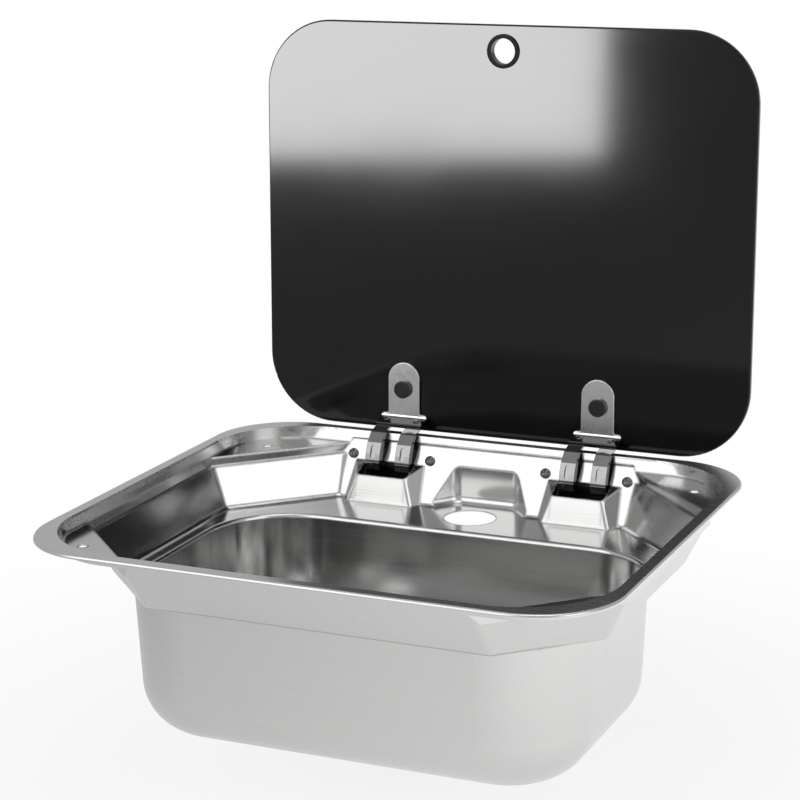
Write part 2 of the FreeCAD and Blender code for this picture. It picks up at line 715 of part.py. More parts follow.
def waste_flange():
    """Threaded cup with a flange in the dish."""
    flange = cylinder(FLANGE_RADIUS, waste_point(0.0), waste_point(-1.6))
    flange = fillet(flange, 0.9, at_height(waste_point(-1.6).z))
    solid = flange.fuse(cylinder(CUP_RADIUS, waste_point(0.0), waste_point(CUP_LENGTH)))
    return solid.cut(cylinder(CUP_RADIUS - CUP_WALL, waste_point(CUP_LENGTH), waste_point(-3.0)))


def strainer():
    """Pierced plate pressed into the cup under the plug."""
    plate = cylinder(CUP_RADIUS - CUP_WALL, waste_point(11.0), waste_point(9.0))
    for radius, count in ((0.0, 1), (7.0, 6), (14.0, 12)):
        for k in range(count):
            turn = 2.0 * math.pi * k / count
            step = Vector(radius * math.cos(turn), radius * math.sin(turn), 0)
            plate = plate.cut(cylinder(STRAINER_HOLE, waste_point(12.0) + step, waste_point(8.0) + step))
    return plate


def waste_gasket():
    """Rubber ring between the bowl and the waste nut."""
    return ring(32.0, CUP_RADIUS, waste_point(SHEET), waste_point(SHEET + 2.5))


def waste_nut():
    """Ring nut with six grip lugs."""
    start, end = waste_point(SHEET + 2.5), waste_point(SHEET + 9.5)
    nut = cylinder(30.0, start, end)
    for k in range(6):
        lug = box(27.0, 34.0, -3.5, 3.5, 0.0, 7.0)
        lug.Placement = Placement(end, Rotation(Vector(0, 0, 1), 60.0 * k))
        nut = nut.fuse(lug)
    return nut.cut(cylinder(CUP_RADIUS, start, end)).removeSplitter()


def waste_outlet():
    """Screwed-on cup with a socket to the back for the hose tail."""
    top, foot = waste_point(SHEET + 10.5), waste_point(OUTLET_FOOT)
    wall = 2.0
    axis = waste_point(SPIGOT_DEPTH)
    solid = cylinder(CUP_RADIUS + 0.05 + wall, top, foot)
    solid = solid.fuse(cylinder(SPIGOT_RADIUS + 2.0, axis + Vector(0, 18.0, 0), axis + Vector(0, SOCKET_END, 0)))
    solid = solid.cut(cylinder(CUP_RADIUS, top, waste_point(CUP_LENGTH)))
    solid = solid.cut(cylinder(CUP_RADIUS - wall, waste_point(CUP_LENGTH), waste_point(OUTLET_FOOT - wall)))
    return solid.cut(cylinder(SPIGOT_RADIUS, axis, axis + Vector(0, SOCKET_END + 1.0, 0)))


def hose_tail():
    """Tube pressed into the outlet's socket, with a stop collar, that takes the waste hose."""
    axis = waste_point(SPIGOT_DEPTH)
    rear = axis + Vector(0, SPIGOT_END, 0)
    stop = axis + Vector(0, SOCKET_END, 0)
    tube = ring(SPIGOT_RADIUS, SPIGOT_RADIUS - SPIGOT_WALL, axis + Vector(0, TAIL_START, 0), rear)
    return tube.fuse(ring(SPIGOT_RADIUS + 2.0, SPIGOT_RADIUS - SPIGOT_WALL, stop, stop + Vector(0, 2.0, 0)))


def waste_plug():
    """Soft plug that sits in the cup under a wide lip."""
    bore = CUP_RADIUS - CUP_WALL
    plug = Part.makeCone(bore - 1.6, bore - 0.4, 7.0, waste_point(8.0))
    plug = plug.fuse(cylinder(bore - 0.4, waste_point(1.0), waste_point(-2.0)))
    plug = plug.fuse(cylinder(24.0, waste_point(-1.9), waste_point(-4.4)))
    return plug.cut(cylinder(KNOB_STEM, waste_point(4.0), waste_point(-5.0))).removeSplitter()


def plug_knob():
    """Turned knob with its stem in the plug, to lift it by."""
    knob = cylinder(KNOB_STEM, waste_point(4.0), waste_point(-8.0))
    head = cylinder(7.5, waste_point(-8.0), waste_point(-12.0))
    head = fillet(head, 1.5, at_height(waste_point(-12.0).z))
    return knob.fuse(cylinder(5.0, waste_point(-4.4), waste_point(-5.6))).fuse(head)


ROOT = {
    "sink_bowl": sink_bowl(),
    "rim_seal": rim_seal(),
    "hinge_housing_left": hinge_housing(-HINGE_X),
    "hinge_housing_right": hinge_housing(HINGE_X),
    "hinge_screws_left": hinge_screws(-HINGE_X),
    "hinge_screws_right": hinge_screws(HINGE_X),
    "hinge_nuts_left": hinge_nuts(-HINGE_X),
    "hinge_nuts_right": hinge_nuts(HINGE_X),
    "hinge_pin_left": hinge_pin(-HINGE_X),
    "hinge_pin_right": hinge_pin(HINGE_X),
    "pin_clip_left": pin_clip(-HINGE_X),
    "pin_clip_right": pin_clip(HINGE_X),
    "hinge_spacer_left": hinge_spacer(-HINGE_X),
    "hinge_spacer_right": hinge_spacer(HINGE_X),
    "friction_washers_left": friction_washers(-HINGE_X),
    "friction_washers_right": friction_washers(HINGE_X),
    "waste_flange": waste_flange(),
    "strainer": strainer(),
    "waste_gasket": waste_gasket(),
    "waste_nut": waste_nut(),
    "waste_outlet": waste_outlet(),
    "hose_tail": hose_tail(),
}

LID = {
    "glass_lid": glass_lid(),
    "finger_ring_front": finger_ring_front(),
    "finger_ring_back": finger_ring_back(),
    "lid_bracket_left": lid_bracket(-HINGE_X),
    "lid_bracket_right": lid_bracket(HINGE_X),
    "bracket_pads": bracket_pads(),
    "bracket_rivets_left": bracket_rivets(-HINGE_X),
    "bracket_rivets_right": bracket_rivets(HINGE_X),
    "lid_bolts": lid_bolts(),
    "bolt_caps": bolt_caps(),
    "rear_washers": rear_washers(),
    "lid_nuts": lid_nuts(),
    "hinge_arm_left_outer": hinge_arm(-HINGE_X - ARM_OFFSET),
    "hinge_arm_left_inner": hinge_arm(-HINGE_X + ARM_OFFSET),
    "hinge_arm_right_inner": hinge_arm(HINGE_X - ARM_OFFSET),
    "hinge_arm_right_outer": hinge_arm(HINGE_X + ARM_OFFSET),
}

PLUG = {
    "waste_plug": waste_plug(),
    "plug_knob": plug_knob(),
}

os.makedirs("parts", exist_ok=True)
for body in (ROOT, LID, PLUG):
    for node, shape in body.items():
        limits = shape.BoundBox
        print(f"{node:24s} valid {shape.isValid()} solids {len(shape.Solids)} volume {shape.Volume:.0f} "
              f"z {limits.ZMin:.1f} to {limits.ZMax:.1f}")
        shape.exportStep(f"parts/{node}.step")
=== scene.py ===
"""Look of a built-in caravan sink with a hinged black glass lid. Metres, +Z up, +Y to the hinges."""

import logging
import math
from dataclasses import dataclass, field
from enum import Enum
from typing import Iterable, Sequence

import bmesh
import bpy
from mathutils import Matrix, Vector
from mathutils.bvhtree import BVHTree


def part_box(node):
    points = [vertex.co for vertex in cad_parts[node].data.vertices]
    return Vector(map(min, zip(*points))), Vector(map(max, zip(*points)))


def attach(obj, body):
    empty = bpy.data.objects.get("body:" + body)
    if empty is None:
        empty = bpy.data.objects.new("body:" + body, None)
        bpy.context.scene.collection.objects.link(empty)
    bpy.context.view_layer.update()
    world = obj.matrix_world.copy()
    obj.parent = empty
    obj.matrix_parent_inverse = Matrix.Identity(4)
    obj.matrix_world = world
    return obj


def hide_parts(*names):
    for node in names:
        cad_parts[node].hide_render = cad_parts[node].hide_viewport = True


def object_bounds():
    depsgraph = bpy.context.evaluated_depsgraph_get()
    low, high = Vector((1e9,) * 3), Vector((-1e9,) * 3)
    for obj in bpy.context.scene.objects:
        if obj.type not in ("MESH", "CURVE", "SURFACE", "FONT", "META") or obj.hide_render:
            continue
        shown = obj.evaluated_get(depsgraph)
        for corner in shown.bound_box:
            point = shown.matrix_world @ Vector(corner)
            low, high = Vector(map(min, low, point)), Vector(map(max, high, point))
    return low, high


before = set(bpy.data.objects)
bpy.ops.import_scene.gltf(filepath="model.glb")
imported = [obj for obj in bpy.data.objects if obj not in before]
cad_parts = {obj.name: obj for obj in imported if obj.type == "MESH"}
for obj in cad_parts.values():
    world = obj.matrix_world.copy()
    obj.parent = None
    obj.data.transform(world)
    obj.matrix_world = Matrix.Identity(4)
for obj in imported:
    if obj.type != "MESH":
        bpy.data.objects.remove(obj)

CAD_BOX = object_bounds()
LOG = logging.getLogger("caravan_sink")
MM = 0.001
WELD = 0.002 * MM
DOUBLES = 1e-6

# Sizes of the sink in millimetres and degrees, as its solids have them.
RIM_TOP = 2.5
SHELF_DEPTH = 47.0
WALL_FOOT_Y = 148.3
WALL_SLOPE = 0.632
SCREW_DEPTH = 16.8
HINGE_X = 80.0
RIVET_OFFSET = 12.5
RIVET_UP = 8.72
RIVET_OUT = 7.4
FLANGE_SLOPE = 0.29
PLATE_FRONT = 3.3
GLASS_FOOT = Vector((0.0, 194.0, 1.85))
LID_LEAN = math.radians(1.58)
STRIP_SIZES = {"Half X": 205.3, "Half Y": 180.3, "Corner": 55.3, "Width": 5.0, "Height": 1.7, "Level": 0.85}


class Hand(Enum):
    """Which hinge of the pair, by the sign of its X."""

    LEFT = -1.0
    RIGHT = 1.0


class Grain(Enum):
    """How far a brushed pattern is drawn out along X, Y and Z, in strokes per metre."""

    LEVEL = (14.0, 14.0, 2600.0)
    ACROSS = (14.0, 2600.0, 400.0)
    FINE = (900.0, 900.0, 900.0)


# ---- node trees ----

class Tree:
    """Short way to write a node tree of shaders, a shader group or geometry nodes."""

    def __init__(self, tree: bpy.types.NodeTree) -> None:
        """Start from an empty tree.

        Args:
            tree: The tree that receives the nodes.
        """
        self.tree = tree
        tree.nodes.clear()

    def add(self, kind: str, inputs: dict | None = None, **settings: object) -> bpy.types.Node:
        """Add a node, set its properties and feed its inputs.

        Args:
            kind: The node's type name in Blender.
            inputs: Input name or index to a plain value or to an output socket.
            **settings: Properties of the node.

        Returns:
            The new node.
        """
        node = self.tree.nodes.new(kind)
        for name, value in settings.items():
            setattr(node, name, value)
        for key, value in (inputs or {}).items():
            self.feed(node.inputs[key], value)
        return node

    def feed(self, socket: bpy.types.NodeSocket, value: object) -> None:
        """Link an output to a socket, or set the socket's own value.

        Args:
            socket: The input socket.
            value: An output socket or a plain value.
        """
        if isinstance(value, bpy.types.NodeSocket):
            self.tree.links.new(value, socket)
        else:
            socket.default_value = value

    def math(self, operation: str, *values: object, clamp: bool = False) -> bpy.types.NodeSocket:
        """Return the output of a Math node on these values."""
        node = self.add("ShaderNodeMath", dict(enumerate(values)), operation=operation, use_clamp=clamp)
        return node.outputs[0]

    def ramp(self, value: object, low: float, high: float, out_low: float = 0.0,
             out_high: float = 1.0) -> bpy.types.NodeSocket:
        """Add a smooth, clamped change from one level to another.

        Args:
            value: The socket to follow.
            low: Its value where the change starts.
            high: Its value where the change ends.
            out_low: Level before the change.
            out_high: Level after it.

        Returns:
            The output socket.
        """
        node = self.add("ShaderNodeMapRange", {0: value, 1: low, 2: high, 3: out_low, 4: out_high},
                        interpolation_type="SMOOTHSTEP")
        return node.outputs[0]

    def noise(self, vector: object, scale: float, detail: float = 2.0) -> bpy.types.NodeSocket:
        """Return a noise value between 0 and 1."""
        node = self.add("ShaderNodeTexNoise", {"Vector": vector, "Scale": scale, "Detail": detail})
        return node.outputs["Fac"]

    def stretched(self, vector: object, scale: Sequence[float]) -> bpy.types.NodeSocket:
        """Return coordinates multiplied along each axis."""
        node = self.add("ShaderNodeVectorMath", {0: vector, 1: tuple(scale)}, operation="MULTIPLY")
        return node.outputs[0]


def new_group(name: str, inputs: dict[str, tuple[str, float | None]], outputs: dict[str, str]) -> tuple:
    """Make an empty shader node group.

    Args:
        name: Name of the group.
        inputs: Socket name to its kind and default.
        outputs: Socket name to its kind.

    Returns:
        The group's tree helper, its input node and its output node.
    """
    group = bpy.data.node_groups.new(name, "ShaderNodeTree")
    for title, (kind, default) in inputs.items():
        socket = group.interface.new_socket(title, in_out="INPUT", socket_type=kind)
        if default is not None:
            socket.default_value = default
    for title, kind in outputs.items():
        group.interface.new_socket(title, in_out="OUTPUT", socket_type=kind)
    tree = Tree(group)
    return tree, tree.add("NodeGroupInput"), tree.add("NodeGroupOutput")


FLOAT, VECTOR = "NodeSocketFloat", "NodeSocketVector"


def grain_group() -> bpy.types.NodeTree:
    """Fine drawn lines of a brushed or rolled surface.

    Returns:
        A group that turns stretched coordinates into a mask and a height.
    """
    tree, source, result = new_group("drawn_grain", {"Vector": (VECTOR, None), "Contrast": (FLOAT, 1.0)},
                                     {"Mask": FLOAT, "Height": FLOAT})
    broad = tree.noise(source.outputs["Vector"], 0.25, 1.0)
    lines = tree.noise(source.outputs["Vector"], 1.0, 3.0)
    mixed = tree.math("MULTIPLY_ADD", broad, 0.45, tree.math("MULTIPLY", lines, 0.55))
    tree.feed(result.inputs["Height"], mixed)
    centred = tree.math("SUBTRACT", mixed, 0.5)
    mask = tree.math("MULTIPLY_ADD", centred, source.outputs["Contrast"], 0.5, clamp=True)
    tree.feed(result.inputs["Mask"], mask)
    return tree.tree


def stain_group() -> bpy.types.NodeTree:
    """Soft handling marks and dried water streaks that run down a wall.

    Returns:
        A group with a mask that is 1 in a mark.
    """
    tree, source, result = new_group("stains", {"Vector": (VECTOR, None), "Amount": (FLOAT, 0.5)},
                                     {"Mask": FLOAT})
    drawn = tree.stretched(source.outputs["Vector"], (26.0, 26.0, 7.0))
    clouds = tree.noise(drawn, 1.0, 3.0)
    patches = tree.noise(source.outputs["Vector"], 9.0, 2.0)
    mask = tree.math("MULTIPLY", tree.ramp(clouds, 0.54, 0.74), tree.ramp(patches, 0.42, 0.66))
    tree.feed(result.inputs["Mask"], tree.math("MULTIPLY", mask, source.outputs["Amount"], clamp=True))
    return tree.tree


def sheet_wave_group() -> bpy.types.NodeTree:
    """Slow unevenness that pressing leaves in thin sheet.

    Returns:
        A group with a height.
    """
    tree, source, result = new_group("sheet_wave", {"Vector": (VECTOR, None)}, {"Height": FLOAT})
    slow = tree.noise(source.outputs["Vector"], 11.0, 1.0)
    small = tree.noise(source.outputs["Vector"], 48.0, 1.0)
    tree.feed(result.inputs["Height"], tree.math("MULTIPLY_ADD", small, 0.18, slow))
    return tree.tree


@dataclass
class Groups:
    """Shader groups that several finishes share."""

    grain: bpy.types.NodeTree = field(default_factory=grain_group)
    stain: bpy.types.NodeTree = field(default_factory=stain_group)
    wave: bpy.types.NodeTree = field(default_factory=sheet_wave_group)


def grey(tone: float) -> tuple[float, float, float, float]:
    """Return an opaque grey of this tone."""
    return (tone, tone, tone, 1.0)


def start_material(name: str, base: Sequence[float], roughness: float, metallic: float) -> tuple:
    """Make a material with one Principled shader.

    Args:
        name: Name of the material.
        base: Base colour, linear.
        roughness: Plain roughness.
        metallic: Plain metallic value.

    Returns:
        The material, its tree helper, the shader and the object coordinates.
    """
    material = bpy.data.materials.new(name)
    material.use_nodes = True
    tree = Tree(material.node_tree)
    shader = tree.add("ShaderNodeBsdfPrincipled", {"Base Color": (*base, 1.0), "Roughness": roughness,
                                                   "Metallic": metallic})
    output = tree.add("ShaderNodeOutputMaterial")
    tree.feed(output.inputs["Surface"], shader.outputs["BSDF"])
    place = tree.add("ShaderNodeTexCoord").outputs["Object"]
    return material, tree, shader, place


@dataclass(frozen=True)
class SteelFinish:
    """Stainless or plated steel with a drawn grain."""

    name: str
    base: tuple[float, float, float] = (0.60, 0.60, 0.595)
    roughness: float = 0.24
    spread: float = 0.10
    grain: Grain = Grain.LEVEL
    grain_depth: float = 0.02 * MM
    wave_depth: float = 0.0
    soft_edge: float = 0.0
    stains: float = 0.0
    stain_tone: float = 0.86

    def build(self, groups: Groups) -> bpy.types.Material:
        """Make the material, with its tones and bump fed by the shared groups.

        Args:
            groups: The shared shader groups.

        Returns:
            The material.
        """
        material, tree, shader, place = start_material(self.name, self.base, self.roughness, 1.0)
        drawn = tree.stretched(place, self.grain.value)
        grain = tree.add("ShaderNodeGroup", {}, node_tree=groups.grain)
        tree.feed(grain.inputs["Vector"], drawn)
        stain = tree.add("ShaderNodeGroup", {}, node_tree=groups.stain)
        tree.feed(stain.inputs["Vector"], place)
        stain.inputs["Amount"].default_value = self.stains
        low, high = self.roughness - self.spread / 2.0, self.roughness + self.spread / 2.0
        rough = tree.ramp(grain.outputs["Mask"], 0.25, 0.75, low, high)
        rough = tree.math("MULTIPLY_ADD", stain.outputs["Mask"], 0.12, rough)
        tree.feed(shader.inputs["Roughness"], rough)
        tone = tree.ramp(grain.outputs["Mask"], 0.2, 0.8, 0.95, 1.0)
        tone = tree.math("MULTIPLY", tone, tree.ramp(stain.outputs["Mask"], 0.0, 1.0, 1.0, self.stain_tone))
        shade = tree.add("ShaderNodeVectorMath", {0: self.base, "Scale": tone}, operation="SCALE")
        tree.feed(shader.inputs["Base Color"], shade.outputs[0])
        bump = tree.add("ShaderNodeBump", {"Distance": self.grain_depth, "Height": grain.outputs["Height"]})
        if self.soft_edge > 0.0:
            edge = tree.add("ShaderNodeBevel", {"Radius": self.soft_edge}, samples=6)
            tree.feed(bump.inputs["Normal"], edge.outputs["Normal"])
        normal = bump.outputs["Normal"]
        if self.wave_depth > 0.0:
            wave = tree.add("ShaderNodeGroup", {}, node_tree=groups.wave)
            tree.feed(wave.inputs["Vector"], place)
            height = wave.outputs["Height"]
            bump = tree.add("ShaderNodeBump",
                            {"Distance": self.wave_depth, "Height": height, "Normal": normal})
            normal = bump.outputs["Normal"]
        tree.feed(shader.inputs["Normal"], normal)
        return material


@dataclass(frozen=True)
class GlassFinish:
    """Opaque black glass, printed behind, with a polished face."""

    name: str
    base: tuple[float, float, float] = (0.003, 0.003, 0.0035)
    roughness: float = 0.07
    smear: float = 0.03
    specular: float = 0.5

    def build(self, groups: Groups) -> bpy.types.Material:
        """Make the material, with faint wiping marks in its gloss.

        Args:
            groups: The shared shader groups, which glass has no use for.

        Returns:
            The material.
        """
        material, tree, shader, place = start_material(self.name, self.base, self.roughness, 0.0)
        shader.inputs["Specular IOR Level"].default_value = self.specular
        smear = tree.noise(tree.stretched(place, (5.0, 5.0, 9.0)), 1.0, 4.0)
        rough = tree.ramp(smear, 0.3, 0.8, self.roughness, self.roughness + self.smear)
        tree.feed(shader.inputs["Roughness"], rough)
        return material


@dataclass(frozen=True)
class SoftFinish:
    """Paint, plastic or rubber with a fine moulded texture."""

    name: str
    base: tuple[float, float, float]
    roughness: float = 0.5
    spread: float = 0.06
    texture: float = 900.0
    depth: float = 0.03 * MM

    def build(self, groups: Groups) -> bpy.types.Material:
        """Make the material, with a mottled tone and a fine bump.

        Args:
            groups: The shared shader groups, which soft finishes have no use for.

        Returns:
            The material.
        """
        material, tree, shader, place = start_material(self.name, self.base, self.roughness, 0.0)
        grit = tree.noise(place, self.texture, 2.0)
        cloud = tree.noise(place, 40.0, 2.0)
        rough = tree.ramp(cloud, 0.3, 0.7, self.roughness - self.spread, self.roughness + self.spread)
        tree.feed(shader.inputs["Roughness"], rough)
        tone = tree.ramp(grit, 0.25, 0.75, 0.88, 1.12)
        shade = tree.add("ShaderNodeVectorMath", {0: self.base, "Scale": tone}, operation="SCALE")
        tree.feed(shader.inputs["Base Color"], shade.outputs[0])
        bump = tree.add("ShaderNodeBump", {"Distance": self.depth, "Height": grit})
        tree.feed(shader.inputs["Normal"], bump.outputs["Normal"])
        return material


Finish = SteelFinish | GlassFinish | SoftFinish


# ---- meshes ----

def skin_of(node: str, name: str) -> bpy.types.Object:
    """Make a joined-up piece on the exact solid of a node.

    Args:
        node: The node whose loose triangles are joined.
        name: Name of the new piece.

    Returns:
        The new object, at the origin, with the solid's own smooth normals.
    """
    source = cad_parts[node].data
    places: dict[tuple[int, int, int], int] = {}
    points, faces, normals = [], [], []
    merged = []
    for vertex in source.vertices:
        key = tuple(round(value / WELD) for value in vertex.co)
        if key not in places:
            places[key] = len(points)
            points.append(tuple(vertex.co))
        merged.append(places[key])
    for polygon in source.polygons:
        corners = [merged[index] for index in polygon.vertices]
        if len(set(corners)) < len(corners):
            continue
        faces.append(corners)
        normals += [source.corner_normals[index].vector.copy() for index in polygon.loop_indices]
    mesh = bpy.data.meshes.new(name)
    mesh.from_pydata(points, [], faces)
    mesh.shade_smooth()
    mesh.normals_split_custom_set(normals)
    piece = bpy.data.objects.new(name, mesh)
    bpy.context.scene.collection.objects.link(piece)
    return piece


def made_plain(piece: bpy.types.Object) -> bpy.types.Object:
    """Turn the evaluated result of a piece into its plain mesh and drop its modifiers."""
    graph = bpy.context.evaluated_depsgraph_get()
    result = bpy.data.meshes.new_from_object(piece.evaluated_get(graph), preserve_all_data_layers=True,
                                             depsgraph=graph)
    old = piece.data
    piece.modifiers.clear()
    piece.data = result
    result.name = piece.name
    if old.users == 0:
        bpy.data.meshes.remove(old)
    return piece


def lid_direction(across: float, up: float, out: float) -> Vector:
    """Return a direction given across, up and out of the standing glass."""
    sine, cosine = math.sin(LID_LEAN), math.cos(LID_LEAN)
    return Vector((across, up * sine - out * cosine, up * cosine + out * sine))


def lid_point(across: float, up: float, out: float) -> Vector:
    """Return a point given in millimetres across, up and out of the glass's front face."""
    return GLASS_FOOT * MM + lid_direction(across, up, out) * MM


# ---- geometry node trees ----

class Drive(Enum):
    """What is cut into a fastener's head."""

    CROSS = "cross"
    PLAIN = "plain"


@dataclass(frozen=True)
class FastenerSize:
    """Sizes of a domed fastener in millimetres."""

    head_radius: float
    head_height: float
    shank_radius: float
    shank_length: float
    foot_radius: float
    foot_height: float

    def inputs(self) -> dict[str, float]:
        """Return the sizes in metres, by the names of a fastener tree's inputs."""
        return {name.replace("_", " ").title(): value * MM for name, value in vars(self).items()}


WALL_SCREW = FastenerSize(3.9, 2.3, 2.0, 8.0, 1.9, 1.0)
FLANGE_RIVET = FastenerSize(2.6, 1.1, 1.6, 4.1, 2.4, 0.7)


def fastener_tree(name: str, drive: Drive) -> bpy.types.NodeTree:
    """Make the node tree that sets a domed fastener on every point.

    Args:
        name: Name of the tree.
        drive: Shape cut into the head.

    Returns:
        A geometry tree with named inputs for its sizes and material.
    """
    group = bpy.data.node_groups.new(name, "GeometryNodeTree")
    face = group.interface
    face.new_socket("Geometry", in_out="INPUT", socket_type="NodeSocketGeometry")
    for title in WALL_SCREW.inputs():
        face.new_socket(title, in_out="INPUT", socket_type=FLOAT)
    face.new_socket("Material", in_out="INPUT", socket_type="NodeSocketMaterial")
    face.new_socket("Geometry", in_out="OUTPUT", socket_type="NodeSocketGeometry")
    tree = Tree(group)
    source, result = tree.add("NodeGroupInput"), tree.add("NodeGroupOutput")
    size = source.outputs

    disc = tree.add("GeometryNodeMeshCylinder", {"Vertices": 40, "Side Segments": 3, "Fill Segments": 7,
                                                 "Radius": size["Head Radius"], "Depth": 1.0},
                    fill_type="TRIANGLE_FAN")
    spot = tree.add("ShaderNodeSeparateXYZ", {0: tree.add("GeometryNodeInputPosition").outputs[0]})
    across = tree.math("SQRT", tree.math("ADD", tree.math("POWER", spot.outputs[0], 2.0),
                                         tree.math("POWER", spot.outputs[1], 2.0)))
    share = tree.math("DIVIDE", across, size["Head Radius"])
    dome = tree.math("SUBTRACT", 1.0, tree.math("MULTIPLY", tree.math("POWER", share, 3.2), 0.5))
    lifted = tree.math("MULTIPLY", tree.math("ADD", spot.outputs[2], 0.5),
                       tree.math("MULTIPLY", dome, size["Head Height"]))
    shaped = tree.add("ShaderNodeCombineXYZ", {0: spot.outputs[0], 1: spot.outputs[1], 2: lifted})
    head = tree.add("GeometryNodeSetPosition",
                    {"Geometry": disc.outputs["Mesh"], "Position": shaped.outputs[0]})
    solid = head.outputs["Geometry"]
    if drive is Drive.CROSS:
        solid = tree.add("GeometryNodeMeshBoolean", {0: solid, 1: cross_cutter(tree, size), 2: True},
                         operation="DIFFERENCE", solver="EXACT").outputs["Mesh"]
    parts = [solid]
    bars = (("Shank Radius", "Shank Length", None), ("Foot Radius", "Foot Height", "Shank Length"))
    for radius, length, top in bars:
        bar = tree.add("GeometryNodeMeshCylinder",
                       {"Vertices": 28, "Radius": size[radius], "Depth": size[length]})
        drop = tree.math("MULTIPLY", size[length], -0.5)
        if top:
            drop = tree.math("SUBTRACT", drop, size[top])
        down = tree.add("ShaderNodeCombineXYZ", {2: drop})
        moved = tree.add("GeometryNodeTransform",
                         {"Geometry": bar.outputs["Mesh"], "Translation": down.outputs[0]})
        parts.append(moved.outputs["Geometry"])
    whole = tree.add("GeometryNodeJoinGeometry")
    for part in parts:
        tree.tree.links.new(part, whole.inputs[0])
    axis = tree.add("GeometryNodeInputNamedAttribute", {"Name": "axis"}, data_type="FLOAT_VECTOR")
    turn = tree.add("FunctionNodeAlignRotationToVector", {"Vector": axis.outputs[0]}, axis="Z")
    placed = tree.add("GeometryNodeInstanceOnPoints", {"Points": size["Geometry"],
                                                       "Instance": whole.outputs[0],
                                                       "Rotation": turn.outputs[0]})
    finish_tree(tree, result, size["Material"], placed.outputs[0])
    return group


def cross_cutter(tree: Tree, size: bpy.types.NodeInputs) -> bpy.types.NodeSocket:
    """Add the two crossed, tapered blades that cut a cross recess.

    Args:
        tree: The fastener's tree.
        size: Sockets with the fastener's sizes.

    Returns:
        The cutter's geometry socket.
    """
    blades = tree.add("GeometryNodeJoinGeometry")
    for turn in (0.0, math.pi / 2.0):
        length = tree.math("MULTIPLY", size["Head Radius"], 1.25)
        width = tree.math("MULTIPLY", size["Head Radius"], 0.24)
        block = tree.add("ShaderNodeCombineXYZ", {0: length, 1: width, 2: size["Head Height"]})
        blade = tree.add("GeometryNodeMeshCube", {"Size": block.outputs[0]})
        lift = tree.add("ShaderNodeCombineXYZ", {2: tree.math("MULTIPLY", size["Head Height"], 0.95)})
        moved = tree.add("GeometryNodeTransform", {"Geometry": blade.outputs["Mesh"],
                                                   "Translation": lift.outputs[0],
                                                   "Rotation": (0.0, 0.0, turn)})
        tree.tree.links.new(moved.outputs["Geometry"], blades.inputs[0])
    return blades.outputs[0]


def strip_tree(name: str) -> bpy.types.NodeTree:
    """Make the node tree that sweeps a soft lipped strip round a rounded rectangle.

    Args:
        name: Name of the tree.

    Returns:
        A geometry tree with named inputs for its sizes and material.
    """
    group = bpy.data.node_groups.new(name, "GeometryNodeTree")
    face = group.interface
    for title in STRIP_SIZES:
        face.new_socket(title, in_out="INPUT", socket_type=FLOAT)
    face.new_socket("Material", in_out="INPUT", socket_type="NodeSocketMaterial")
    face.new_socket("Geometry", in_out="OUTPUT", socket_type="NodeSocketGeometry")
    tree = Tree(group)
    source, result = tree.add("NodeGroupInput"), tree.add("NodeGroupOutput")
    size = source.outputs
    wide = tree.math("MULTIPLY", size["Half X"], 2.0)
    long = tree.math("MULTIPLY", size["Half Y"], 2.0)
    path = tree.add("GeometryNodeCurvePrimitiveQuadrilateral", {"Width": wide, "Height": long},
                    mode="RECTANGLE")
    bent = tree.add("GeometryNodeFilletCurve",
                    {"Curve": path.outputs[0], "Radius": size["Corner"], "Count": 24}, mode="POLY")
    edge = tree.math("MULTIPLY", size["Height"], 0.3)
    swept = sweep_section(tree, bent.outputs[0], size["Width"], size["Height"], edge)
    lift = tree.add("ShaderNodeCombineXYZ", {2: size["Level"]})
    placed = tree.add("GeometryNodeTransform", {"Geometry": swept, "Translation": lift.outputs[0]})
    finish_tree(tree, result, size["Material"], placed.outputs[0])
    return group


def grown_piece(name: str, tree: bpy.types.NodeTree, inputs: dict[str, object],
                points: Iterable[tuple[Vector, Vector]] = (), sharp: float = 35.0) -> bpy.types.Object:
    """Run a geometry tree on a set of points and keep the result as a plain mesh.

    Args:
        name: Name of the new piece.
        tree: The geometry tree.
        inputs: Value of each named input.
        points: Places and axes, for a tree that sets something on points.
        sharp: Edges that turn by more than this many degrees stay sharp.

    Returns:
        The new object, at the origin, with no modifier.
    """
    spots = list(points)
    mesh = bpy.data.meshes.new(name)
    mesh.from_pydata([tuple(spot) for spot, _ in spots] or [(0.0, 0.0, 0.0)], [], [])
    axes = mesh.attributes.new("axis", "FLOAT_VECTOR", "POINT")
    for index, (_, axis) in enumerate(spots):
        axes.data[index].vector = axis
    piece = bpy.data.objects.new(name, mesh)
    bpy.context.scene.collection.objects.link(piece)
    modifier = piece.modifiers.new("grown", "NODES")
    modifier.node_group = tree
    for socket in tree.interface.items_tree:
        if socket.in_out == "INPUT" and socket.name in inputs:
            modifier[socket.identifier] = inputs[socket.name]
    made_plain(piece)
    work = bmesh.new()
    work.from_mesh(piece.data)
    bmesh.ops.remove_doubles(work, verts=work.verts, dist=DOUBLES)
    bmesh.ops.recalc_face_normals(work, faces=work.faces)
    for polygon in work.faces:
        polygon.smooth = True
    work.to_mesh(piece.data)
    work.free()
    piece.data.set_sharp_from_angle(angle=math.radians(sharp))
    return piece


